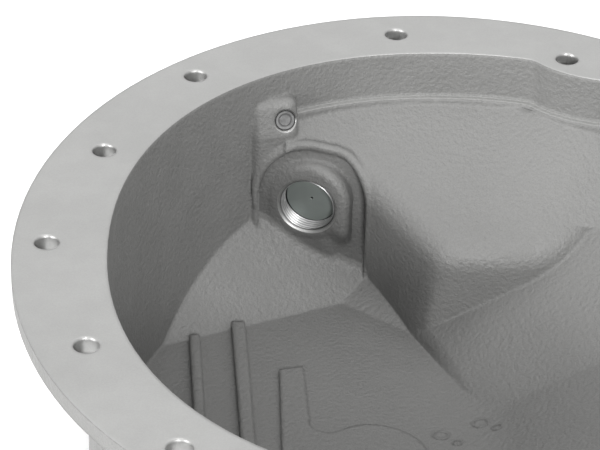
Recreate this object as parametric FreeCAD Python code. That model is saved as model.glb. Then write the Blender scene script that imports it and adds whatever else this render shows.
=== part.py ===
import FreeCAD, Part
import math
import os

# Differential cover: one aluminium casting with a fill plug, its seal and a small pipe plug.
# It rests on the crests of its cooling fins, with the bolting flange on top, facing up.
# Lengths are in millimetres and angles in degrees. The shape is built with the flange face
# at z = 0 and depths counted downwards, and is lifted by its whole height at the end.
# Seen from above, +Y is the far side and +X is to the right.

# Bolting flange, an ellipse
FLANGE_LENGTH = 335.0
FLANGE_WIDTH = 302.6
FLANGE_THICKNESS = 6.5
BOLT_HOLE = 9.0
BOLT_SEAT = 16.6
END_HOLE_EDGE = 12.0

# The other bolt holes, by their distances in from the flange's side and from its end
WIDE_HOLE = (29.0, 105.5)
CORNER_HOLE = (61.1, 50.0)
SIDE_HOLE = (138.9, 15.7)
REAR_HOLE = (33.2, 86.7)

# Mouth of the bowl, a superellipse, with a lobe beside each inset hole
LAND_ENDS = 30.6
LAND_SIDES = 29.0
MOUTH_LENGTH = FLANGE_LENGTH - 2.0 * LAND_ENDS
MOUTH_WIDTH = FLANGE_WIDTH - 2.0 * LAND_SIDES
MOUTH_POWER = 2.15
MOUTH_OFFSET = 4.15
LOBE_FROM_END = 61.95
LOBE_OUT = 8.9697
INSET_HOLE_FROM_LOBE = (-11.5, 2.4)
LOBE_LENGTH = 54.0
LOBE_WIDTH = 27.0
LOBE_TURN = -20.0
LOBE_ROUND = 8.0


def in_bowl(right, near):
    """A place in the bowl, by its distances from the mouth's left end and from its far end."""
    return (MOUTH_OFFSET - MOUTH_WIDTH / 2.0 + right, MOUTH_LENGTH / 2.0 - near)


# Bowl: a flat floor with sloping corners on the left and a ramp on the right
WALL = 8.0
FLOOR_DEPTH = 94.0
CORNER_TOE = in_bowl(85.65, 34.1)
CORNER_HEADING = 113.3
CORNER_SLOPE = 52.5
FOOT_HEADING = 52.0
FOOT_SLOPE = 25.9
RAMP_START = in_bowl(138.15, 0.0)[0]
RAMP_SLOPE = 30.1
RAMP_RADIUS = 40.0
TERRACE_DEPTH = 46.0

# Shoulder on the far side: a ledge under the wall, a falling top, a steep front and flank
LEDGE_DEPTH = 18.5
LEDGE_WIDTH = 3.0
LEDGE_STEP = 1.2
SHOULDER_SLOPE = 31.0
SHOULDER_EDGE = in_bowl(0.0, 76.9)[1]
SHOULDER_EDGE_DEPTHS = (74.0, 73.0, 70.0, 65.0, 64.0, 65.0, 68.0, 73.0, 77.0, 80.0, 82.0)
SHOULDER_STATIONS = (-0.647, -0.508, -0.345, -0.157, 0.031, 0.195, 0.350, 0.453, 0.563, 0.718, 0.849)
SHOULDER_FRONT = in_bowl(0.0, 60.4)[1]
SHOULDER_BEND = in_bowl(153.15, 0.0)[0]
SHOULDER_RADIUS = 40.0
SHOULDER_END = in_bowl(179.55, 0.0)[0]
SHOULDER_ROUND = 13.0
FLANK_FOOT = (in_bowl(132.55, 97.2), in_bowl(111.75, 54.5))
FLANK_BROW = (in_bowl(124.15, 60.4), in_bowl(90.65, 30.9))
FLANK_BROW_DEPTH = 45.0
FLANK_HEADING = 36.0
APRON_TOE = in_bowl(138.15, 106.9)
APRON_HEADING = 32.3
APRON_SLOPE = 34.5
APRON_ROUND = 9.0
CAST_ROUND = 2.0

# Fill port: its level axis runs out through the far wall
PORT_MOUTH = in_bowl(71.25, 25.9)
PORT_DEPTH = 54.4
PORT_HEADING = 73.0
PORT_BORE = 22.4
PORT_CHAMFER = 0.8
PORT_RING = 31.0
PORT_RING_ROUND = 4.0
PORT_BOSS = 36.0
PORT_REACH = 31.0
ARCH_CENTRE = in_bowl(73.15, 66.9)
ARCH_RADIUS = 21.0
ARCH_DEPTH = 48.6
ARCH_WALL = in_bowl(73.15, 22.6)
ARCH_HEADING = 87.3
PORT_WALL_ROUND = 8.0

# Fill plug and seal
PLUG_RECESS = 7.0
PLUG_CLEARANCE = 0.2
PLUG_HEAD = 30.0
PLUG_HEAD_THICKNESS = 4.0
PLUG_HEX = 22.0
PLUG_HEX_HEIGHT = 6.0
PLUG_CHAMFER = 0.8
SEAL_OUTSIDE = 28.0
SEAL_THICKNESS = 1.6
HEAD_ROOM = 44.0

# Small port and its plug, in a pad high on the far wall
PAD_CENTRE = in_bowl(58.85, 0.0)[0]
PAD_TOP = 10.4
PAD_BEND = 24.0
PAD_WIDTH = 18.5
PAD_ROUND = 4.0
SMALL_PORT = in_bowl(62.55, 21.4)
SMALL_PORT_DEPTH = 18.3
SMALL_PORT_HEADING = 104.0
SMALL_PORT_DIP = 15.0
SMALL_BORE = 8.2
SMALL_CHAMFER = 0.5
SMALL_PLUG_RECESS = 0.8
SMALL_PLUG_LENGTH = 17.0
SMALL_CLEARANCE = 0.1
SMALL_SOCKET = 4.0
SMALL_SOCKET_DEPTH = 5.0

# Two ribs and a raised strip on the floor
RIB_HEIGHT = 3.6
RIB_ROUND = 1.2
RIB_TURN = 3.2
RIB_FAR_ENDS = (in_bowl(28.15, 61.4), in_bowl(44.95, 52.4))
RIB_WIDTHS = (4.2, 5.4)
RIB_LENGTH = 150.0
STRIP_HEIGHT = 1.6

# Cooling fins outside
FIN_THICKNESS = 4.5
FIN_PITCH = 31.0
FIN_COUNT = 9
FIN_HEIGHT = 12.0
FIN_PROUD = 7.0
FIN_CREST_INSET = 22.0

DEPTH_OUTSIDE = FLOOR_DEPTH + WALL
OVERALL_HEIGHT = DEPTH_OUTSIDE + FIN_HEIGHT
SHOULDER_TOP = LEDGE_DEPTH + LEDGE_STEP

# Size of the big blocks that cut and fill, and how far a cutter runs past a face
SPAN = 2.0 * FLANGE_LENGTH
PAST = 5.0

UP = FreeCAD.Vector(0, 0, 1)


def vec(x, y, z=0.0):
    return FreeCAD.Vector(x, y, z)


def level(heading):
    """A level direction, turned from +X towards +Y."""
    angle = math.radians(heading)
    return vec(math.cos(angle), math.sin(angle))


def less(body, tools):
    """What is left of a body once each tool is cut off in turn."""
    for tool in tools:
        body = body.cut(tool)
    return body


def ground(toe, depth, heading, slope, skin=0.0):
    """All that lies below a plane, which rises from a toe towards a heading.

    The skin lowers the plane by a wall's thickness, measured square to it.
    """
    rise = math.radians(slope)
    normal = UP * math.cos(rise) - level(heading) * math.sin(rise)
    block = Part.makeBox(SPAN, SPAN, SPAN, vec(-SPAN / 2.0, -SPAN / 2.0, -SPAN))
    block.Placement = FreeCAD.Placement(vec(toe[0], toe[1], -depth) - normal * skin,
                                        FreeCAD.Rotation(UP, normal))
    return block


def superellipse(grow, depth):
    """The mouth's outline, grown outwards, as one smooth closed curve."""
    half_x = MOUTH_WIDTH / 2.0 + grow
    half_y = MOUTH_LENGTH / 2.0 + grow
    points = []
    count = 32
    for step in range(count):
        angle = 2.0 * math.pi * step / count
        across = math.cos(angle)
        along = math.sin(angle)
        size = (abs(across) ** MOUTH_POWER + abs(along) ** MOUTH_POWER) ** (-1.0 / MOUTH_POWER)
        points.append(vec(MOUTH_OFFSET + half_x * size * across, half_y * size * along, -depth))
    curve = Part.BSplineCurve()
    curve.interpolate(points, PeriodicFlag=True)
    return Part.Wire(curve.toShape())


def ellipse_face(centre, length, width, turn, depth):
    """A flat ellipse with its length along a heading."""
    middle = vec(centre[0], centre[1], -depth)
    halves = [level(turn) * (length / 2.0), level(turn + 90.0) * (width / 2.0)]
    halves.sort(key=lambda half: -half.Length)
    curve = Part.Ellipse(middle + halves[0], middle + halves[1], middle)
    return Part.Face(Part.Wire(curve.toShape()))


def from_corner(hole, side):
    """A bolt hole's place, on the left or the right of the far half of the flange."""
    return (side * (FLANGE_WIDTH / 2.0 - hole[0]), FLANGE_LENGTH / 2.0 - hole[1])


def outline_reach(x, inset):
    """How far out the superellipse lies at x, moved in by an inset."""
    share = abs(x - MOUTH_OFFSET) / (MOUTH_WIDTH / 2.0 - inset)
    return (MOUTH_LENGTH / 2.0 - inset) * (1.0 - share ** MOUTH_POWER) ** (1.0 / MOUTH_POWER)


def lobe_centre():
    x = MOUTH_OFFSET + MOUTH_WIDTH / 2.0 - LOBE_FROM_END
    return (x, outline_reach(x, 0.0) + LOBE_OUT)


def mouth_column(grow, top, bottom):
    """A column with the mouth's outline between two depths, with its lobes left standing."""
    column = Part.Face(superellipse(grow, bottom)).extrude(vec(0, 0, bottom - top))
    lobe_x, lobe_y = lobe_centre()
    for side in (1, -1):
        centre = (lobe_x, side * lobe_y)
        lobe = ellipse_face(centre, LOBE_LENGTH - 2.0 * grow, LOBE_WIDTH - 2.0 * grow,
                            side * LOBE_TURN, bottom + PAST)
        column = column.cut(lobe.extrude(vec(0, 0, bottom - top + 2.0 * PAST)))
    corners = [edge for edge in column.Edges
               if abs(edge.Length - (bottom - top)) < 0.01 and edge.CenterOfMass.x > 0.0
               and abs(edge.CenterOfMass.y) > SHOULDER_FRONT]
    return column.makeFillet(LOBE_ROUND, corners)


def bolt_holes():
    """Centres of the twelve bolt holes, alike on the near and the far side."""
    end = FLANGE_WIDTH / 2.0 - END_HOLE_EDGE
    lobe_x, lobe_y = lobe_centre()
    far = [from_corner(hole, -1) for hole in (WIDE_HOLE, CORNER_HOLE, SIDE_HOLE)]
    far.append(from_corner(REAR_HOLE, 1))
    far.append((lobe_x + INSET_HOLE_FROM_LOBE[0], lobe_y + INSET_HOLE_FROM_LOBE[1]))
    return [(-end, 0.0), (end, 0.0)] + far + [(x, -y) for x, y in far]


def flange():
    """The bolting flange as a plate."""
    plate = ellipse_face((0.0, 0.0), FLANGE_LENGTH, FLANGE_WIDTH, 90.0, 0.0)
    return plate.extrude(vec(0, 0, -FLANGE_THICKNESS))


def ramp(skin):
    """The floor's right part: it bends up into a ramp and ends in a level terrace."""
    slope = math.radians(RAMP_SLOPE)
    tangent = RAMP_RADIUS * math.tan(slope / 2.0)
    foot = vec(RAMP_START, 0, -FLOOR_DEPTH)
    head = foot + vec((FLOOR_DEPTH - TERRACE_DEPTH) / math.tan(slope), 0,
                      FLOOR_DEPTH - TERRACE_DEPTH)
    along = vec(math.cos(slope), 0, math.sin(slope))
    half = vec(math.sin(slope / 2.0), 0, -math.cos(slope / 2.0)) * RAMP_RADIUS
    foot_centre = foot + vec(-tangent, 0, RAMP_RADIUS)
    head_centre = head + vec(tangent, 0, -RAMP_RADIUS)
    points = [foot - vec(tangent, 0, 0), foot_centre + half, foot + along * tangent,
              head - along * tangent, head_centre - half, head + vec(tangent, 0, 0)]
    left = vec(-SPAN / 2.0, 0, -SPAN)
    right = vec(SPAN / 2.0, 0, -SPAN)
    start = vec(left.x, 0, points[0].z)
    end = vec(right.x, 0, points[5].z)
    edges = [Part.LineSegment(start, points[0]).toShape(),
             Part.Arc(points[0], points[1], points[2]).toShape(),
             Part.LineSegment(points[2], points[3]).toShape(),
             Part.Arc(points[3], points[4], points[5]).toShape(),
             Part.LineSegment(points[5], end).toShape(),
             Part.LineSegment(end, right).toShape(),
             Part.LineSegment(right, left).toShape(),
             Part.LineSegment(left, start).toShape()]
    body = Part.Face(Part.Wire(edges)).extrude(vec(0, SPAN, 0))
    body.translate(vec(0, -SPAN / 2.0, -skin))
    return body


def flank(skin):
    """All to the right of the shoulder's flank, a ruled surface from its foot to its brow."""
    def x_on(line, y):
        (x_a, y_a), (x_b, y_b) = line
        return x_a + (x_b - x_a) * (y - y_a) / (y_b - y_a)

    def section(z):
        share = (z + FLOOR_DEPTH) / (FLOOR_DEPTH - FLANK_BROW_DEPTH)
        corners = []
        for y in (-FLANGE_WIDTH / 2.0, FLANGE_LENGTH):
            foot = x_on(FLANK_FOOT, y)
            corners.append(vec(foot + (x_on(FLANK_BROW, y) - foot) * share, y, z))
        corners.append(vec(SPAN, FLANGE_LENGTH, z))
        corners.append(vec(SPAN, -FLANGE_WIDTH / 2.0, z))
        return Part.makePolygon(corners + [corners[0]])

    body = Part.makeLoft([section(-OVERALL_HEIGHT - PAST), section(PAST)], True, True)
    body.translate(level(FLANK_HEADING) * skin)
    return body


def shoulder_column():
    """All behind the shoulder's front, which bends away at its right end."""
    bend = math.asin((SHOULDER_END - SHOULDER_BEND) / SHOULDER_RADIUS)
    centre = vec(SHOULDER_BEND, SHOULDER_FRONT + SHOULDER_RADIUS)
    arc = []
    for angle in (0.0, bend / 2.0, bend):
        arc.append(centre + vec(math.sin(angle), -math.cos(angle)) * SHOULDER_RADIUS)
    far = SPAN / 2.0
    corners = [arc[2], vec(far, arc[2].y), vec(far, far), vec(-far, far),
               vec(-far, SHOULDER_FRONT), arc[0]]
    edges = [Part.Arc(arc[0], arc[1], arc[2]).toShape()]
    for start, end in zip(corners, corners[1:]):
        edges.append(Part.LineSegment(start, end).toShape())
    column = Part.Face(Part.Wire(edges)).extrude(vec(0, 0, -far))
    return column


def round_for(radius, skin):
    """The radius of a rounding once its faces are moved in by a skin."""
    return max(radius - skin, CAST_ROUND)


def edges_at(solid, point):
    """The edges that end at a point."""
    found = []
    for edge in solid.Edges:
        if min(vertex.Point.distanceToPoint(point) for vertex in edge.Vertexes) < 0.01:
            found.append(edge)
    return found


def mouth_edge(x, inset):
    """How far out the mouth's outline lies at x, its lobe included, moved in by an inset."""
    reach = outline_reach(x, inset)
    half_length = LOBE_LENGTH / 2.0 + inset
    half_width = LOBE_WIDTH / 2.0 + inset
    lobe_x, lobe_y = lobe_centre()
    for step in range(1, 36):
        turn = math.radians(-5.0 * step)
        point = (level(LOBE_TURN) * (half_length * math.cos(turn))
                 + level(LOBE_TURN + 90.0) * (half_width * math.sin(turn)))
        if abs(lobe_x + point.x - x) < 2.0:
            reach = min(reach, lobe_y + point.y)
    return reach


def edge_between(solid, start, end):
    """The edge that joins two points."""
    middle = (start + end) * 0.5
    return min(solid.Edges, key=lambda edge: edge.CenterOfMass.distanceToPoint(middle))


def shoulder_top(skin):
    """All below the shoulder's top, a ruled surface from the ledge to an edge in front.

    Outside, where nothing follows the ledge, one plane does.
    """
    if skin:
        toe = (0.0, MOUTH_LENGTH / 2.0 - LEDGE_WIDTH)
        return ground(toe, SHOULDER_TOP, 90.0, SHOULDER_SLOPE, skin)
    high = []
    low = []
    for share, depth in zip(SHOULDER_STATIONS, SHOULDER_EDGE_DEPTHS):
        x = MOUTH_OFFSET + share * MOUTH_WIDTH / 2.0
        high.append(vec(x, mouth_edge(x, 1.0), -LEDGE_DEPTH - LEDGE_STEP))
        low.append(vec(x, SHOULDER_EDGE, -depth))
    curves = []
    for points in (high, low):
        curve = Part.BSplineCurve()
        curve.interpolate(points)
        curves.append(curve.toShape())
    return Part.makeRuledSurface(curves[0], curves[1]).extrude(UP * -SPAN)


def shoulder(skin):
    """The high block on the far side, with one soft rounding round its front corner."""
    column = shoulder_column()
    column.translate(vec(0, skin, 0))
    block = column.common(flank(skin))
    block = block.common(shoulder_top(skin))
    front = [vertex.Point for vertex in block.Vertexes
             if abs(vertex.Y - SHOULDER_FRONT - skin) < 0.01 and vertex.Z > -FLOOR_DEPTH]
    corner = min(front, key=lambda point: point.x)
    block = block.makeFillet(round_for(SHOULDER_ROUND, skin), edges_at(block, corner))
    return block.fuse(port_wall(skin))


def port_wall(skin):
    """The wall over the fill port, level with the shoulder's top, its front edge rounded."""
    behind = Part.makeBox(SPAN, SPAN, SPAN, vec(SMALL_PORT[0], PORT_MOUTH[1] + skin, -SPAN))
    wall = shoulder_top(skin).common(behind)
    front = [edge for edge in wall.Edges
             if abs(edge.CenterOfMass.y - PORT_MOUTH[1] - skin) < 0.01
             and edge.CenterOfMass.z > -FLOOR_DEPTH]
    return wall.makeFillet(round_for(PORT_WALL_ROUND, skin), front)


def apron(skin):
    """The slope that falls from the shoulder's front to the floor, its left edge rounded."""
    slope = ground(APRON_TOE, FLOOR_DEPTH, APRON_HEADING, APRON_SLOPE, skin)
    body = flank(skin).common(slope)
    toe = Part.Vertex(vec(APRON_TOE[0], APRON_TOE[1], -FLOOR_DEPTH))
    brow = min(body.Edges, key=lambda edge: edge.distToShape(toe)[0])
    return body.makeFillet(round_for(APRON_ROUND, skin), [brow])


def near_apron(skin):
    """The matching slope on the near side."""
    toe = (APRON_TOE[0], -APRON_TOE[1])
    return ground(toe, FLOOR_DEPTH, -APRON_HEADING, APRON_SLOPE, skin)


def bowl_ground(skin):
    """Everything that fills the bowl from below, as a list of solids."""
    terrace = ground((0.0, 0.0), TERRACE_DEPTH, 0.0, 0.0, skin)
    near_toe = (CORNER_TOE[0], -CORNER_TOE[1])
    return [ground(CORNER_TOE, FLOOR_DEPTH, CORNER_HEADING, CORNER_SLOPE, skin),
            ground(near_toe, FLOOR_DEPTH, -CORNER_HEADING, CORNER_SLOPE, skin),
            ground(CORNER_TOE, FLOOR_DEPTH, FOOT_HEADING, FOOT_SLOPE, skin),
            ramp(skin),
            shoulder(skin),
            apron(skin).common(terrace),
            near_apron(skin).common(terrace)]


PORT_OUT = level(PORT_HEADING)
PORT_RIGHT = level(PORT_HEADING - 90.0)
PORT_CENTRE = vec(PORT_MOUTH[0], PORT_MOUTH[1], -PORT_DEPTH)


def port_cylinder(diameter, start, end):
    """A cylinder on the fill port's axis, from and to a distance behind its mouth."""
    return Part.makeCylinder(diameter / 2.0, end - start, PORT_CENTRE + PORT_OUT * start,
                             PORT_OUT)


def port_pocket(fill):
    """The arched pocket in front of the port, down to the sloping corner of the bowl."""
    centre = vec(ARCH_CENTRE[0], ARCH_CENTRE[1], -ARCH_DEPTH)
    side = vec(ARCH_RADIUS, 0)
    drop = UP * -FLOOR_DEPTH
    edges = [Part.Arc(centre - side, centre + UP * ARCH_RADIUS, centre + side).toShape(),
             Part.LineSegment(centre + side, centre + side + drop).toShape(),
             Part.LineSegment(centre + side + drop, centre - side + drop).toShape(),
             Part.LineSegment(centre - side + drop, centre - side).toShape()]
    column = Part.Face(Part.Wire(edges)).extrude(vec(0, MOUTH_LENGTH / 2.0 - ARCH_CENTRE[1]))
    behind = ground(ARCH_WALL, FLOOR_DEPTH, ARCH_HEADING, 90.0)
    return column.cut([behind] + fill)


def port_ring():
    """The thick ring that the fill port opens in."""
    ring = port_cylinder(PORT_RING, 0.0, PORT_REACH)
    mouth = min(ring.Faces, key=lambda face: face.CenterOfMass.dot(PORT_OUT))
    return ring.makeFillet(PORT_RING_ROUND, mouth.Edges)


SMALL_OUT = (level(SMALL_PORT_HEADING) * math.cos(math.radians(SMALL_PORT_DIP))
             - UP * math.sin(math.radians(SMALL_PORT_DIP)))
SMALL_CENTRE = vec(SMALL_PORT[0], SMALL_PORT[1], -SMALL_PORT_DEPTH)


def small_cylinder(diameter, start, end):
    """A cylinder on the small port's axis, from and to a distance behind its mouth."""
    return Part.makeCylinder(diameter / 2.0, end - start, SMALL_CENTRE + SMALL_OUT * start,
                             SMALL_OUT)


def small_pad():
    """The pad round the small port, which leans back above a bend and is upright below."""
    into = level(SMALL_PORT_HEADING)
    right = level(SMALL_PORT_HEADING - 90.0)
    lean = math.tan(math.radians(SMALL_PORT_DIP))
    middle = SMALL_CENTRE + right * (PAD_CENTRE - SMALL_PORT[0])

    def on_face(depth):
        rise = SMALL_PORT_DEPTH - depth
        return middle + UP * rise + into * (rise * lean) - right * (PAD_WIDTH / 2.0)

    top = on_face(PAD_TOP)
    bend = on_face(PAD_BEND)
    foot = bend - UP * FLOOR_DEPTH
    back = into * (2.0 * PAD_WIDTH)
    side = Part.makePolygon([top, bend, foot, foot + back, top + back, top])
    pad = Part.Face(side).extrude(right * PAD_WIDTH)
    across = right * PAD_WIDTH
    rims = [edge_between(pad, top, top + across)]
    for shift in (vec(0, 0), across):
        for start, end in ((top, bend), (bend, foot), (top, top + back)):
            rims.append(edge_between(pad, start + shift, end + shift))
    return pad.makeFillet(PAD_ROUND, rims)


def ledge():
    """The narrow ledge under the far wall, where the shoulder begins."""
    band = mouth_column(PAST, LEDGE_DEPTH, FLOOR_DEPTH)
    band = band.cut(mouth_column(-LEDGE_WIDTH, LEDGE_DEPTH - PAST, FLOOR_DEPTH + PAST))
    reach = Part.makeBox(SPAN, SPAN, SPAN, vec(PAD_CENTRE, SHOULDER_FRONT, -SPAN))
    return band.common(reach)


def floor_ribs():
    """Two ribs on the floor's left part, side by side."""
    ribs = []
    for far_end, width in zip(RIB_FAR_ENDS, RIB_WIDTHS):
        bar = Part.makeBox(width, RIB_LENGTH, RIB_HEIGHT + PAST,
                           vec(-width / 2.0, -RIB_LENGTH, -PAST))
        tops = [edge for edge in bar.Edges
                if abs(edge.CenterOfMass.z - RIB_HEIGHT) < 0.01 and edge.Length > width]
        bar = bar.makeFillet(RIB_ROUND, tops)
        bar.Placement = FreeCAD.Placement(vec(far_end[0], far_end[1], -FLOOR_DEPTH),
                                          FreeCAD.Rotation(UP, RIB_TURN))
        ribs.append(bar)
    return ribs


def floor_strip():
    """A low raised field on the floor, with a wavy edge on its right part."""
    z = -FLOOR_DEPTH - PAST
    corners = [(-3.0, -30.0), (-56.0, -30.0), (-57.3, 55.5), (-48.3, 57.5), (-46.3, 24.0)]
    wave = [(-46.3, 24.0), (-44.5, 17.8), (-38.7, 15.4), (-32.0, 18.6), (-25.0, 20.6),
            (-14.3, 18.2), (-6.0, 11.0), (-3.0, -3.0)]
    edge = Part.BSplineCurve()
    edge.interpolate([vec(x, y, z) for x, y in wave])
    edges = [edge.toShape()]
    outline = [wave[-1]] + corners
    for (x_a, y_a), (x_b, y_b) in zip(outline, outline[1:]):
        edges.append(Part.LineSegment(vec(x_a, y_a, z), vec(x_b, y_b, z)).toShape())
    field = Part.Face(Part.Wire(Part.__sortEdges__(edges)))
    return field.extrude(vec(0, 0, PAST + STRIP_HEIGHT))


def cavity():
    """The hollow of the bowl as one solid."""
    fill = bowl_ground(0.0)
    hollow = less(mouth_column(0.0, -PAST, FLOOR_DEPTH), fill + [ledge(), small_pad()])
    hollow = hollow.fuse(port_pocket(fill[:4]))
    return hollow.cut([port_ring(), floor_strip()] + floor_ribs())


def fins():
    """Parallel cooling fins that wrap round the outside, with level crests."""
    top = superellipse(WALL + FIN_PROUD, FLANGE_THICKNESS / 2.0)
    crest = superellipse(WALL - FIN_CREST_INSET, OVERALL_HEIGHT)
    envelope = Part.makeLoft([top, crest], True, True)
    plates = []
    for number in range(FIN_COUNT):
        y = (number - (FIN_COUNT - 1) / 2.0) * FIN_PITCH
        plate = Part.makeBox(SPAN, FIN_THICKNESS, SPAN,
                             vec(-SPAN / 2.0, y - FIN_THICKNESS / 2.0, -SPAN))
        plates.append(plate)
    return envelope.common(plates)


def bolt_cutters():
    """Each bolt hole, and the room for the bolt's head behind the flange."""
    radius = BOLT_HOLE / 2.0
    cutters = []
    for x, y in bolt_holes():
        cutters.append(Part.makeCylinder(radius, FLANGE_THICKNESS + 2.0 * PAST,
                                         vec(x, y, -FLANGE_THICKNESS - PAST)))
        cutters.append(Part.makeCylinder(BOLT_SEAT / 2.0, OVERALL_HEIGHT,
                                         vec(x, y, -FLANGE_THICKNESS - OVERALL_HEIGHT)))
    return cutters


def port_cutters():
    """The bores of both ports, with their chamfers and the room outside the fill port."""
    wide = PORT_BORE / 2.0 + PORT_CHAMFER
    small = SMALL_BORE / 2.0 + SMALL_CHAMFER
    return [port_cylinder(PORT_BORE, -PAST, PORT_REACH + PAST),
            Part.makeCone(wide, PORT_BORE / 2.0, PORT_CHAMFER, PORT_CENTRE, PORT_OUT),
            port_cylinder(HEAD_ROOM, PORT_REACH, PORT_REACH + HEAD_ROOM),
            small_cylinder(SMALL_BORE, -PAST, 2.0 * SMALL_PLUG_LENGTH),
            Part.makeCone(small, SMALL_BORE / 2.0, SMALL_CHAMFER, SMALL_CENTRE, SMALL_OUT)]


def cover_casting():
    """The casting: shell, fins, port boss and flange, less the bowl and all holes."""
    shell = less(mouth_column(WALL, 0.0, DEPTH_OUTSIDE), bowl_ground(WALL))
    boss = port_cylinder(PORT_BOSS, PORT_RING_ROUND, PORT_REACH)
    body = shell.fuse([fins(), boss, flange()]).removeSplitter()
    return body.cut([cavity()] + bolt_cutters() + port_cutters())


def hexagon(across_flats, base, direction, height):
    """A hexagonal prism that stands on a point."""
    radius = across_flats / math.sqrt(3.0)
    turn = FreeCAD.Rotation(UP, direction)
    corners = []
    for step in range(7):
        angle = math.radians(60.0 * step)
        corners.append(base + turn.multVec(vec(math.cos(angle), math.sin(angle)) * radius))
    return Part.Face(Part.makePolygon(corners)).extrude(direction * height)


def fill_plug():
    """The threaded plug of the fill port, with its flanged hexagon head outside."""
    shank = port_cylinder(PORT_BORE - 2.0 * PLUG_CLEARANCE, PLUG_RECESS,
                          PORT_REACH + SEAL_THICKNESS)
    tip = min(shank.Faces, key=lambda face: face.CenterOfMass.dot(PORT_OUT))
    shank = shank.makeChamfer(PLUG_CHAMFER, tip.Edges)
    start = PORT_REACH + SEAL_THICKNESS
    head = port_cylinder(PLUG_HEAD, start, start + PLUG_HEAD_THICKNESS)
    key = hexagon(PLUG_HEX, PORT_CENTRE + PORT_OUT * (start + PLUG_HEAD_THICKNESS), PORT_OUT,
                  PLUG_HEX_HEIGHT)
    return shank.fuse([head, key]).removeSplitter()


def fill_plug_seal():
    """The flat ring that seals the plug's head on the boss."""
    ring = port_cylinder(SEAL_OUTSIDE, PORT_REACH, PORT_REACH + SEAL_THICKNESS)
    return ring.cut(port_cylinder(PORT_BORE, PORT_REACH - PAST, PORT_REACH + PAST))


def port_plug():
    """The small pipe plug, with a hexagon socket at its outer end."""
    end = SMALL_PLUG_RECESS + SMALL_PLUG_LENGTH
    body = small_cylinder(SMALL_BORE - 2.0 * SMALL_CLEARANCE, SMALL_PLUG_RECESS, end)
    socket = hexagon(SMALL_SOCKET, SMALL_CENTRE + SMALL_OUT * (end - SMALL_SOCKET_DEPTH),
                     SMALL_OUT, SMALL_SOCKET_DEPTH)
    return body.cut(socket)


def main():
    os.makedirs("parts", exist_ok=True)
    nodes = {"cover_casting": cover_casting(),
             "fill_plug": fill_plug(),
             "fill_plug_seal": fill_plug_seal(),
             "port_plug": port_plug()}
    for name, shape in nodes.items():
        shape.translate(UP * OVERALL_HEIGHT)
        print(name, "solids", len(shape.Solids), "valid", shape.isValid(),
              "volume", round(shape.Volume))
        shape.exportStep("parts/" + name + ".step")


if __name__ == "__main__":
    main()
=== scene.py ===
import math

import bmesh
import bpy
from mathutils import Matrix, Vector
from mathutils.bvhtree import BVHTree


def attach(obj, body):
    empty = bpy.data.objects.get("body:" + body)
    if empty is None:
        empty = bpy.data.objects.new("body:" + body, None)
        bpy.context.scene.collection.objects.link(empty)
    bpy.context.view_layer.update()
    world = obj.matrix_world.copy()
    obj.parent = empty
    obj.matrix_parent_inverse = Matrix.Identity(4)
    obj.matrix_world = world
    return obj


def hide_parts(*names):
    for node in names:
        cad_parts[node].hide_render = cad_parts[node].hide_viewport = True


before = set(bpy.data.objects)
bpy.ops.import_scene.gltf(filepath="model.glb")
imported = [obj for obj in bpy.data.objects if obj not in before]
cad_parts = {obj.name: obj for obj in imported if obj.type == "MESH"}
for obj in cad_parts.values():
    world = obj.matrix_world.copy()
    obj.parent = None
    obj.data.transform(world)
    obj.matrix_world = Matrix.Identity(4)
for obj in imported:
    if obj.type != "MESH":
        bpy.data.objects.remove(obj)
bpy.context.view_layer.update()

MM = 0.001

# Places in the frame, in millimetres and degrees, with the flange face at this height
TOP = 114.0
HOLES = ((-139.3, 0.0), (139.3, 0.0), (-122.3, 62.0), (-122.3, -62.0), (-90.2, 117.5),
         (-90.2, -117.5), (-12.4, 151.8), (-12.4, -151.8), (53.0, 133.4), (53.0, -133.4),
         (118.1, 80.8), (118.1, -80.8))
HOLE_REACH = 5.3
HOLE_DEPTH = 8.5
LEDGE_Z = TOP - 18.6

# The fill port, its plug and the small port above it
PORT_MOUTH = Vector((-46.9, 111.0, TOP - 54.4))
PORT_HEADING = 73.0
PORT_BORE = 22.4
PORT_CHAMFER = 0.9
PLUG_RECESS = 7.0
THREAD_PITCH = 1.5
SMALL_PORT = Vector((-55.6, 115.5, TOP - 18.3))
SMALL_PORT_HEADING = 104.0
SMALL_PORT_FALL = 15.0
SMALL_PORT_REACH = 4.75

# The arched pocket round the fill port and the sloping foot in front of it
ARCH_X = -45.0
ARCH_Z = TOP - 48.6
ARCH_RADIUS = 21.0
ARCH_LEFT_Y = 112.1
ARCH_LEFT_LEAN = 0.11
WALL_Y = 114.3
WALL_HEADING = 87.3
FOOT_TOE = Vector((-32.5, 102.8, TOP - 94.0))
FOOT_HEADING = 113.3
FOOT_SLOPE = 52.5

# The photograph's camera, and the studio's lights by name, place, size and power
CAMERA_PLACE = Vector((-67.8, -844.2, 661.7))
CAMERA_YAW, CAMERA_PITCH, CAMERA_ROLL = 1.101, 32.581, 1.085
FOCAL_PIXELS = 2897.6
PHOTO_PIXELS = 600.0
SENSOR_WIDTH = 36.0
WORLD_STRENGTH = 1.35
LIGHT_TARGET = Vector((0.0, 0.03, 0.07))
LIGHTS = (("side_light", Vector((-2.0, -1.6, 0.75)), 0.6, 60.0),
          ("front_light", Vector((0.3, -2.3, 1.2)), 0.5, 50.0),
          ("high_light", Vector((0.0, 0.1, 2.2)), 0.6, 8.0))


def direction(heading, rise=0.0):
    """The way that points to a heading and up by a rise, both in degrees."""
    heading, rise = math.radians(heading), math.radians(rise)
    return Vector((math.cos(heading) * math.cos(rise), math.sin(heading) * math.cos(rise),
                   math.sin(rise)))


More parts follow.
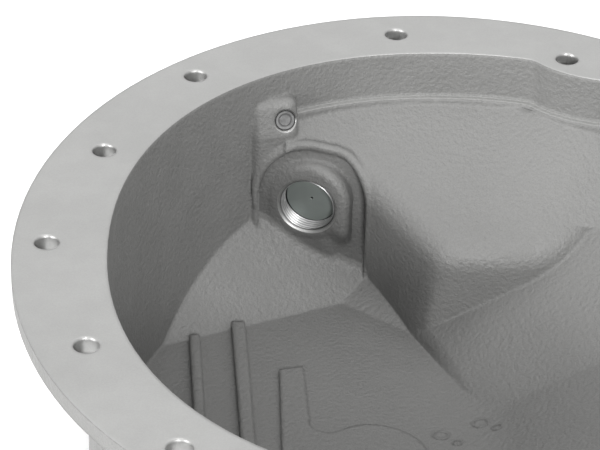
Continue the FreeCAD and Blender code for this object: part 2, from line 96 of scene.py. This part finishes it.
UP = Vector((0.0, 0.0, 1.0))
BACKWARD = Vector((0.0, 1.0, 0.0))
FOOT_NORMAL = -direction(FOOT_HEADING, FOOT_SLOPE - 90.0)
PORT_OUT = direction(PORT_HEADING)
PORT_RIGHT = PORT_OUT.cross(UP).normalized()
SMALL_OUT = direction(SMALL_PORT_HEADING, -SMALL_PORT_FALL)


class Graph:
    """A short way to write a material's nodes."""

    def __init__(self, name):
        self.material = bpy.data.materials.new(name)
        self.material.use_nodes = True
        self.tree = self.material.node_tree
        self.tree.nodes.clear()
        self.out = self.tree.nodes.new("ShaderNodeOutputMaterial")
        self.shader = self.tree.nodes.new("ShaderNodeBsdfPrincipled")
        self.tree.links.new(self.shader.outputs[0], self.out.inputs[0])
        self.coord = self.tree.nodes.new("ShaderNodeTexCoord").outputs["Object"]
        self.normal = self.tree.nodes.new("ShaderNodeNewGeometry").outputs["Normal"]

    def put(self, socket, value):
        if isinstance(value, bpy.types.NodeSocket):
            self.tree.links.new(value, socket)
        else:
            socket.default_value = value

    def set(self, **values):
        for name, value in values.items():
            self.put(self.shader.inputs[name.replace("_", " ")], value)

    def math(self, kind, *values):
        node = self.tree.nodes.new("ShaderNodeMath")
        node.operation = kind
        for socket, value in zip(node.inputs, values):
            self.put(socket, value)
        return node.outputs[0]

    def times(self, first, *others):
        for other in others:
            first = self.math("MULTIPLY", first, other)
        return first

    def within(self, value, middle, reach):
        """One where a value is less than a reach away from a middle, nought elsewhere."""
        away = self.math("ABSOLUTE", self.math("SUBTRACT", value, middle))
        return self.math("LESS_THAN", away, reach)

    def vector(self, kind, *values):
        node = self.tree.nodes.new("ShaderNodeVectorMath")
        node.operation = kind
        for socket, value in zip(node.inputs, values):
            self.put(socket, value)
        scalar = kind in ("DOT_PRODUCT", "LENGTH", "DISTANCE")
        return node.outputs["Value" if scalar else "Vector"]

    def scaled(self, vector, share):
        node = self.vector("SCALE", vector).node
        self.put(node.inputs["Scale"], share)
        return node.outputs["Vector"]

    def axis(self, vector, name):
        node = self.tree.nodes.new("ShaderNodeSeparateXYZ")
        self.put(node.inputs[0], vector)
        return node.outputs[name]

    def varied(self, noise, start, end, low=0.3):
        """Turns the usual range of a noise into a range from start to end."""
        return self.ramp(noise, low, 0.7, start, end)

    def ramp(self, value, low, high, start=0.0, end=1.0):
        """Runs smoothly from start to end while value goes from low to high."""
        node = self.tree.nodes.new("ShaderNodeMapRange")
        node.interpolation_type = "SMOOTHSTEP"
        for name, number in (("Value", value), ("From Min", low), ("From Max", high),
                             ("To Min", start), ("To Max", end)):
            self.put(node.inputs[name], number)
        return node.outputs[0]

    def noise(self, scale, detail, rough):
        node = self.tree.nodes.new("ShaderNodeTexNoise")
        self.put(node.inputs["Vector"], self.coord)
        node.inputs["Scale"].default_value = scale
        node.inputs["Detail"].default_value = detail
        node.inputs["Roughness"].default_value = rough
        return node.outputs[0]

    def mix(self, share, first, second):
        """Goes from one colour to another."""
        node = self.tree.nodes.new("ShaderNodeMix")
        node.data_type = "RGBA"
        self.put(node.inputs[0], share)
        self.put(node.inputs[6], first)
        self.put(node.inputs[7], second)
        return node.outputs[2]

    def blend(self, share, first, second):
        """Goes from one number to another."""
        node = self.tree.nodes.new("ShaderNodeMix")
        self.put(node.inputs[0], share)
        self.put(node.inputs[2], first)
        self.put(node.inputs[3], second)
        return node.outputs[0]

    def bump(self, height, distance, strength=1.0, normal=None):
        node = self.tree.nodes.new("ShaderNodeBump")
        node.inputs["Distance"].default_value = distance
        self.put(node.inputs["Strength"], strength)
        self.put(node.inputs["Height"], height)
        if normal is not None:
            self.put(node.inputs["Normal"], normal)
        return node.outputs[0]

    def bevel(self, radius, samples=6):
        node = self.tree.nodes.new("ShaderNodeBevel")
        node.samples = samples
        node.inputs["Radius"].default_value = radius
        return node.outputs[0]


def grey(value):
    return (value, value, value, 1.0)


def axis_distance(graph, point, way):
    """How far a point of the surface is from an axis, and how far along it."""
    offset = graph.vector("SUBTRACT", graph.coord, tuple(point * MM))
    along = graph.vector("DOT_PRODUCT", offset, tuple(way))
    across = graph.vector("CROSS_PRODUCT", offset, tuple(way))
    return graph.vector("LENGTH", across), along


def machined_mask(graph):
    """One on the flange face and in the bolt holes and the ports, nought on the cast skin."""
    height = graph.axis(graph.coord, "Z")
    facing = graph.axis(graph.normal, "Z")
    face = graph.times(graph.math("GREATER_THAN", height, (TOP - 0.75) * MM),
                       graph.math("GREATER_THAN", facing, 0.5))
    near = None
    flat = graph.vector("MULTIPLY", graph.coord, (1.0, 1.0, 0.0))
    for x, y in HOLES:
        distance = graph.vector("DISTANCE", flat, (x * MM, y * MM, 0.0))
        near = distance if near is None else graph.math("MINIMUM", near, distance)
    bore = graph.times(graph.within(facing, 0.0, 0.3),
                       graph.math("GREATER_THAN", height, (TOP - HOLE_DEPTH) * MM),
                       graph.math("LESS_THAN", near, HOLE_REACH * MM))
    port = axis_distance(graph, PORT_MOUTH, PORT_OUT)[0]
    port = graph.math("LESS_THAN", port, (0.5 * PORT_BORE + PORT_CHAMFER) * MM)
    small = axis_distance(graph, SMALL_PORT, SMALL_OUT)[0]
    small = graph.math("LESS_THAN", small, SMALL_PORT_REACH * MM)
    ports = graph.math("MAXIMUM", port, small)
    return graph.math("MAXIMUM", face, graph.math("MAXIMUM", bore, ports))


def painted_recess_shade(graph):
    """Painted shade, darkening the colour low in the port's pocket and on the flank under the
    shoulder.
    """
    across = graph.axis(graph.coord, "X")
    depth = graph.axis(graph.coord, "Y")
    height = graph.axis(graph.coord, "Z")
    aside = graph.math("SUBTRACT", across, ARCH_X * MM)
    slant = graph.math("ADD", height, graph.times(aside, 0.5))
    above = graph.vector("SUBTRACT", graph.coord, tuple(FOOT_TOE * MM))
    above = graph.vector("DOT_PRODUCT", above, tuple(FOOT_NORMAL))
    pocket = graph.times(graph.ramp(slant, 49.0 * MM, 74.0 * MM, 1.0, 0.0),
                         graph.ramp(above, 1.2 * MM, 2.6 * MM),
                         graph.math("GREATER_THAN", depth, 106.0 * MM),
                         graph.within(aside, 0.0, 20.5 * MM))
    middle = Vector((-4.0, 84.0, 24.0)) * MM
    flank = graph.vector("DISTANCE", graph.coord, tuple(middle))
    flank = graph.times(graph.ramp(flank, 12.0 * MM, 40.0 * MM, 1.0, 0.0),
                        graph.ramp(graph.axis(graph.normal, "X"), -0.6, -0.3, 1.0, 0.0))
    # The painted shade takes up to 0.42 off the colour in the pocket and 0.35 on the flank.
    shade = graph.math("ADD", graph.times(pocket, 0.42), graph.times(flank, 0.35))
    return graph.math("SUBTRACT", 1.0, shade)


def cast_material():
    """Pebbly cast skin, with a satin machined flange face and bright bores."""
    graph = Graph("cast_aluminium_look")
    machined = machined_mask(graph)
    # Painted highlight: the up-facing top of the ledge is coloured half again brighter.
    painted_ledge_highlight = graph.times(graph.within(graph.axis(graph.coord, "Z"), LEDGE_Z * MM, 0.6 * MM),
                        graph.math("GREATER_THAN", graph.axis(graph.normal, "Z"), 0.5))

    cloud = graph.noise(16.0, 2.0, 0.5)
    stain = graph.noise(70.0, 4.0, 0.6)
    grain = graph.noise(1700.0, 2.0, 0.6)
    pebble = graph.noise(600.0, 2.0, 0.5)

    tone = graph.math("ADD", graph.varied(cloud, 0.985, 1.02),
                      graph.varied(stain, -0.012, 0.012, 0.35))
    tone = graph.math("ADD", tone, graph.varied(grain, -0.06, 0.06))
    # Painted highlight on the ledge, and painted shade low in the pocket and on the flank.
    tone = graph.times(tone, graph.blend(painted_ledge_highlight, 1.0, 1.5), painted_recess_shade(graph))
    cast = graph.scaled((0.148, 0.148, 0.1445), tone)

    shade = graph.math("ADD", graph.varied(cloud, 0.97, 1.02),
                       graph.varied(stain, -0.025, 0.025, 0.35))
    shade = graph.math("ADD", shade, graph.varied(grain, -0.03, 0.03))
    bright = graph.scaled((0.335, 0.335, 0.33), shade)

    graph.set(Base_Color=graph.mix(machined, cast, bright),
              Metallic=graph.blend(machined, 0.1, 0.85),
              Roughness=graph.blend(machined, graph.varied(stain, 0.5, 0.66),
                                    graph.varied(cloud, 0.36, 0.46)))
    soft = graph.bevel(2.2 * MM, 8)
    rough = graph.math("ADD", graph.times(pebble, 0.75), graph.times(grain, 0.25))
    skin = graph.bump(rough, 0.6 * MM, graph.blend(machined, 1.0, 0.0), soft)
    graph.set(Normal=graph.bump(grain, 0.03 * MM, graph.blend(machined, 0.0, 0.8), skin))
    return graph.material


def plug_material():
    """Dull plated steel, with a small centre mark on the plug's inner face."""
    graph = Graph("plug_steel_look")
    distance, along = axis_distance(graph, PORT_MOUTH, PORT_OUT)
    dot = graph.times(graph.ramp(distance, 0.35 * MM, 0.55 * MM, 1.0, 0.0),
                      graph.math("LESS_THAN", along, 10.0 * MM))
    rim = graph.times(graph.ramp(distance, 10.1 * MM, 10.4 * MM),
                      graph.math("LESS_THAN", along, 8.5 * MM))
    smear = graph.noise(60.0, 3.0, 0.6)
    grain = graph.noise(1500.0, 2.0, 0.5)
    steel = graph.scaled((0.31, 0.34, 0.325), graph.varied(smear, 0.9, 1.08))
    dark = graph.math("MAXIMUM", dot, rim)
    height = graph.math("SUBTRACT", graph.times(grain, 0.1), dot)
    graph.set(Base_Color=graph.mix(dark, steel, grey(0.03)), Metallic=0.7,
              Roughness=graph.varied(smear, 0.38, 0.5),
              Normal=graph.bump(height, 0.3 * MM, 1.0, graph.bevel(0.3 * MM, 6)))
    return graph.material


def small_plug_material():
    """Dull steel with faint turning rings round the small plug's middle."""
    graph = Graph("small_plug_look")
    distance, along = axis_distance(graph, SMALL_PORT, SMALL_OUT)
    smear = graph.noise(300.0, 3.0, 0.6)
    near = graph.math("LESS_THAN", along, 2.0 * MM)
    turned = graph.math("ABSOLUTE", graph.math("SUBTRACT", distance, 2.4 * MM))
    line = graph.times(near, graph.ramp(turned, 0.15 * MM, 0.4 * MM, 1.0, 0.0))
    rim = graph.times(near, graph.ramp(distance, 3.4 * MM, 3.8 * MM))
    steel = graph.mix(graph.varied(smear, 0.0, 1.0), grey(0.13), grey(0.2))
    steel = graph.mix(graph.times(line, 0.6), steel, grey(0.05))
    graph.set(Base_Color=graph.mix(rim, steel, grey(0.02)), Metallic=0.5,
              Roughness=graph.varied(smear, 0.4, 0.55),
              Normal=graph.bump(graph.math("SUBTRACT", smear, line), 0.2 * MM))
    return graph.material


def rubber_material():
    """Matt black rubber."""
    graph = Graph("seal_rubber_look")
    grain = graph.noise(1200.0, 3.0, 0.6)
    graph.set(Base_Color=graph.mix(graph.varied(grain, 0.0, 1.0), grey(0.03), grey(0.05)),
              Roughness=graph.varied(grain, 0.65, 0.8),
              Normal=graph.bump(grain, 0.05 * MM))
    return graph.material


def thread_material():
    """Cut metal, light on the thread's crests, with painted shade making its grooves dark."""
    graph = Graph("thread_look")
    lay = graph.noise(700.0, 2.0, 0.5)
    distance = axis_distance(graph, PORT_MOUTH, PORT_OUT)[0]
    # Painted shade: the thread's roots, deepest into the wall, are coloured dark.
    painted_groove_shade = graph.ramp(distance, 10.6 * MM, 11.0 * MM)
    crest = graph.mix(graph.varied(lay, 0.0, 1.0), grey(0.4), grey(0.48))
    graph.set(Base_Color=graph.mix(painted_groove_shade, crest, grey(0.16)), Metallic=0.8,
              Roughness=graph.varied(lay, 0.32, 0.4),
              Normal=graph.bump(lay, 0.005 * MM))
    return graph.material


def in_metres(mesh):
    """Takes a mesh that was built in millimetres to metres, smooth and facing outwards."""
    bmesh.ops.scale(mesh, vec=(MM, MM, MM), verts=mesh.verts)
    bmesh.ops.recalc_face_normals(mesh, faces=mesh.faces)
    for face in mesh.faces:
        face.smooth = True
    return mesh


def add_piece(name, mesh, material):
    """Puts a finished mesh, in metres, into the scene as a piece of the part."""
    data = bpy.data.meshes.new(name)
    mesh.to_mesh(data)
    mesh.free()
    piece = bpy.data.objects.new(name, data)
    bpy.context.scene.collection.objects.link(piece)
    data.materials.append(material)
    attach(piece, "root")
    return piece


def round_places(middle, right, up, radius, around):
    """Places on a circle about a middle, from its right side over its upper one."""
    turns = [2.0 * math.pi * step / around for step in range(around)]
    return [middle + (right * math.cos(turn) + up * math.sin(turn)) * radius for turn in turns]


def loft(mesh, rings):
    """Joins closed rings of places, each with as many, by faces."""
    rows = [[mesh.verts.new(place) for place in ring] for ring in rings]
    for first, second in zip(rows, rows[1:]):
        for step in range(len(first)):
            after = (step + 1) % len(first)
            mesh.faces.new((first[step], first[after], second[after], second[step]))
    return rows


def port_thread():
    """The cut thread that shows in the port between its mouth and the plug."""
    mesh = bmesh.new()
    outer = 0.5 * PORT_BORE - 0.02
    depth = 0.75
    start = 0.85
    around = 144
    per_turn = 12
    rings = []
    for row in range(int((PLUG_RECESS - start) / THREAD_PITCH * per_turn) + 1):
        along = start + (row / per_turn) * THREAD_PITCH
        ring = []
        for step in range(around):
            turn = step / around
            phase = (along / THREAD_PITCH + turn) % 1.0
            crest = 1.0 - abs(2.0 * phase - 1.0)
            radius = outer - depth * min(1.0, 1.2 * crest)
            angle = 2.0 * math.pi * turn
            ring.append(PORT_MOUTH + PORT_OUT * along
                        + (PORT_RIGHT * math.cos(angle) + UP * math.sin(angle)) * radius)
        rings.append(ring)
    loft(mesh, rings)
    add_piece("port_thread", in_metres(mesh), thread_material())


def port_wall_y(x):
    """Where the pocket's flat wall lies behind a place."""
    return WALL_Y - (x - ARCH_X) * math.tan(math.radians(90.0 - WALL_HEADING))


def port_face():
    """The pad that the port opens in, round above and straight down to the foot's slope."""
    around = 144
    radius = 16.6
    lift = 2.4
    drop = 36.0
    rounding = 3.0
    proud = 0.3
    skirt = 7.0
    sunk = 0.4
    lean_start = 9.0
    lean_length = 12.0
    cut_depth = 2.0

    def reach_at(across, rise, inset):
        if rise >= 0.0:
            return radius - inset + lift * rise
        return min((radius - inset) / max(abs(across), 0.01), (drop - inset) / max(-rise, 0.01))

    def ring(inset, along, circle=None):
        """An outline set in from the pad's edge, or a circle, leaning back to the wall below."""
        places = []
        for step in range(around):
            angle = 2.0 * math.pi * (step + 0.5) / around
            across, rise = math.cos(angle), math.sin(angle)
            reach = circle or reach_at(across, rise, inset)
            place = PORT_MOUTH + PORT_OUT * along + (PORT_RIGHT * across + UP * rise) * reach
            wall = port_wall_y(place.x) - sunk
            low = min(max((-rise * reach - lean_start) / lean_length, 0.0), 1.0)
            if place.y < wall:
                place.y += (wall - place.y) * low * low * (3.0 - 2.0 * low)
            places.append(place)
        return places

    mouth = 0.5 * PORT_BORE
    rings = [ring(0.0, 1.2, mouth + 0.15), ring(0.0, 0.0, mouth + 0.7),
             ring(0.0, -proud, mouth + 1.1)]
    for step in range(7):
        angle = 0.5 * math.pi * step / 6.0
        rings.append(ring(rounding * (1.0 - math.sin(angle)),
                          rounding * (1.0 - math.cos(angle)) - proud))
    rings.append(ring(0.0, skirt))
    mesh = bmesh.new()
    loft(mesh, rings)
    bmesh.ops.bisect_plane(mesh, geom=mesh.verts[:] + mesh.edges[:] + mesh.faces[:],
                           dist=0.0001, plane_co=FOOT_TOE - FOOT_NORMAL * cut_depth,
                           plane_no=FOOT_NORMAL, clear_inner=True)
    return in_metres(mesh)


def tube(mesh, path, radii, around=14, closed=False):
    """A round bar along a path of places, with its radius at each of them."""
    rings = []
    count = len(path)
    for step, place in enumerate(path):
        before = path[(step - 1) % count] if closed else path[max(step - 1, 0)]
        after = path[(step + 1) % count] if closed else path[min(step + 1, count - 1)]
        along = (after - before).normalized()
        side = along.cross(BACKWARD if abs(along.y) < 0.8 else UP).normalized()
        rings.append(round_places(place, side, along.cross(side), radii[step], around))
    if closed:
        rings.append(rings[0])
    rows = loft(mesh, rings)
    if closed:
        bmesh.ops.remove_doubles(mesh, verts=mesh.verts, dist=0.0001)
    else:
        mesh.faces.new(rows[0])
        mesh.faces.new(rows[-1])


def pocket_edge(tree, x, z):
    """The pocket's edge in the right half of its arch, with the wall's normal there.

    Where the slope above the pocket has gone behind the pocket's wall, the edge lies lower.
    """
    drop = 0.0
    while True:
        start = Vector((x, 20.0, z - drop))
        hit, normal, face, distance = tree.ray_cast(start * MM, BACKWARD)
        place = hit / MM
        if place.y < port_wall_y(x) + 0.2 or z - drop < ARCH_Z:
            return place, normal, drop
        drop += 0.25


def arch_lip(tree):
    """The soft rim round the arched pocket, sunk along its edge and fading out at both ends."""
    spacing = 2.0
    rounding_steps = 36
    outward = 1.0
    sunk = 1.1
    thickness = 1.9
    left, right = ARCH_X - ARCH_RADIUS, ARCH_X + ARCH_RADIUS
    samples = [(right, ARCH_Z - spacing * step) for step in range(14, 0, -1)]
    for step in range(rounding_steps + 1):
        angle = math.pi * step / rounding_steps
        samples.append((ARCH_X + ARCH_RADIUS * math.cos(angle),
                        ARCH_Z + ARCH_RADIUS * math.sin(angle)))
    samples += [(left, ARCH_Z - spacing * step) for step in range(1, 5)]
    path = []
    drop = 0.0
    for x, z in samples:
        away = Vector((x - ARCH_X, 0.0, max(z - ARCH_Z, 0.0))).normalized()
        if x > ARCH_X - 1.0:
            place, normal, drop = pocket_edge(tree, x, z)
        else:
            swell = 0.9 * math.exp(-((x - ARCH_X + 9.5) / 4.5) ** 2)
            place = Vector((x, ARCH_LEFT_Y + (x - left) * ARCH_LEFT_LEAN - swell,
                            z - drop * max(0.0, 1.0 - (ARCH_X - x) / 14.0)))
            normal = Vector((0.2, -0.98, 0.0))
        path.append(place + away * outward - normal * sunk)
    for turn in range(8):
        path[1:-1] = [(a + b * 2.0 + c) / 4.0 for a, b, c in zip(path, path[1:], path[2:])]
    mesh = bmesh.new()
    last = len(path) - 1
    tube(mesh, path, [thickness * min(1.0, 0.25 + 0.12 * min(step, last - step))
                      for step in range(last + 1)])
    return in_metres(mesh)


def floor_rings(tree):
    """Small plain cast rings on the floor, beside the raised field."""
    mesh = bmesh.new()
    around = 36
    flatness = 0.8
    thickness = 0.4
    for x, y, radius in ((2.2, 15.9, 2.9), (8.2, 11.6, 1.7), (17.4, 22.6, 2.9), (23.2, 18.0, 1.7)):
        path = []
        for start in round_places(Vector((x, y, 60.0)), Vector((1.0, 0.0, 0.0)),
                                  Vector((0.0, flatness, 0.0)), radius, around):
            hit, normal, face, distance = tree.ray_cast(start * MM, -UP)
            path.append(hit / MM)
        tube(mesh, path, [thickness] * around, 8, True)
    return in_metres(mesh)


def full_casting(material):
    """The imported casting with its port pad, pocket rim and floor rings, as one cast skin."""
    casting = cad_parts["cover_casting"]
    tree = BVHTree.FromObject(casting, bpy.context.evaluated_depsgraph_get())
    whole = bmesh.new()
    whole.from_mesh(casting.data)
    for part in (port_face(), arch_lip(tree), floor_rings(tree)):
        carrier = bpy.data.meshes.new("carrier")
        part.to_mesh(carrier)
        part.free()
        whole.from_mesh(carrier)
        bpy.data.meshes.remove(carrier)
    for face in whole.faces:
        face.material_index = 0
    piece = add_piece("cover_casting_skin", whole, material)
    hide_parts("cover_casting")


def dress(name, material):
    """Gives a CAD node its material."""
    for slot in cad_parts[name].material_slots:
        slot.material = material


def camera():
    """The camera that the photograph was solved for."""
    yaw, pitch, roll = (math.radians(turn) for turn in (CAMERA_YAW, CAMERA_PITCH, CAMERA_ROLL))
    look = Vector((math.sin(yaw) * math.cos(pitch), math.cos(yaw) * math.cos(pitch),
                   -math.sin(pitch)))
    level = Vector((math.cos(yaw), -math.sin(yaw), 0.0))
    over = level.cross(look)
    right = level * math.cos(roll) + over * math.sin(roll)
    up = over * math.cos(roll) - level * math.sin(roll)
    data = bpy.data.cameras.new("photo_camera")
    data.sensor_fit = "HORIZONTAL"
    data.sensor_width = SENSOR_WIDTH
    data.lens = FOCAL_PIXELS * SENSOR_WIDTH / PHOTO_PIXELS
    data.clip_start = 0.05
    data.clip_end = 30.0
    eye = bpy.data.objects.new("photo_camera", data)
    bpy.context.scene.collection.objects.link(eye)
    turn = Matrix((right, up, -look)).transposed().to_4x4()
    eye.matrix_world = Matrix.Translation(CAMERA_PLACE * MM) @ turn
    bpy.context.scene.camera = eye


def area_light(name, place, size, power):
    """A square lamp that looks at the bowl."""
    data = bpy.data.lights.new(name, "AREA")
    data.shape = "SQUARE"
    data.size = size
    data.energy = power
    lamp = bpy.data.objects.new(name, data)
    lamp.location = place
    lamp.rotation_euler = (LIGHT_TARGET - place).to_track_quat("-Z", "Y").to_euler()
    bpy.context.scene.collection.objects.link(lamp)


def studio():
    """A pale floor under a white world, with three soft lamps."""
    mesh = bpy.data.meshes.new("floor")
    half = 4.0
    corners = [(-half, -half, 0), (half, -half, 0), (half, half, 0), (-half, half, 0)]
    mesh.from_pydata(corners, [], [(0, 1, 2, 3)])
    floor = bpy.data.objects.new("floor", mesh)
    bpy.context.scene.collection.objects.link(floor)
    graph = Graph("floor_look")
    speck = graph.noise(30.0, 2.0, 0.5)
    graph.set(Base_Color=graph.mix(speck, grey(0.9), grey(0.93)), Roughness=0.85)
    mesh.materials.append(graph.material)
    world = bpy.data.worlds.new("studio")
    bpy.context.scene.world = world
    world.use_nodes = True
    background = world.node_tree.nodes["Background"]
    background.inputs["Color"].default_value = (1.0, 1.0, 1.0, 1.0)
    background.inputs["Strength"].default_value = WORLD_STRENGTH
    for name, place, size, power in LIGHTS:
        area_light(name, place, size, power)
    bpy.context.scene.view_settings.view_transform = "Standard"


full_casting(cast_material())
dress("fill_plug", plug_material())
dress("port_plug", small_plug_material())
dress("fill_plug_seal", rubber_material())
port_thread()
studio()
camera()
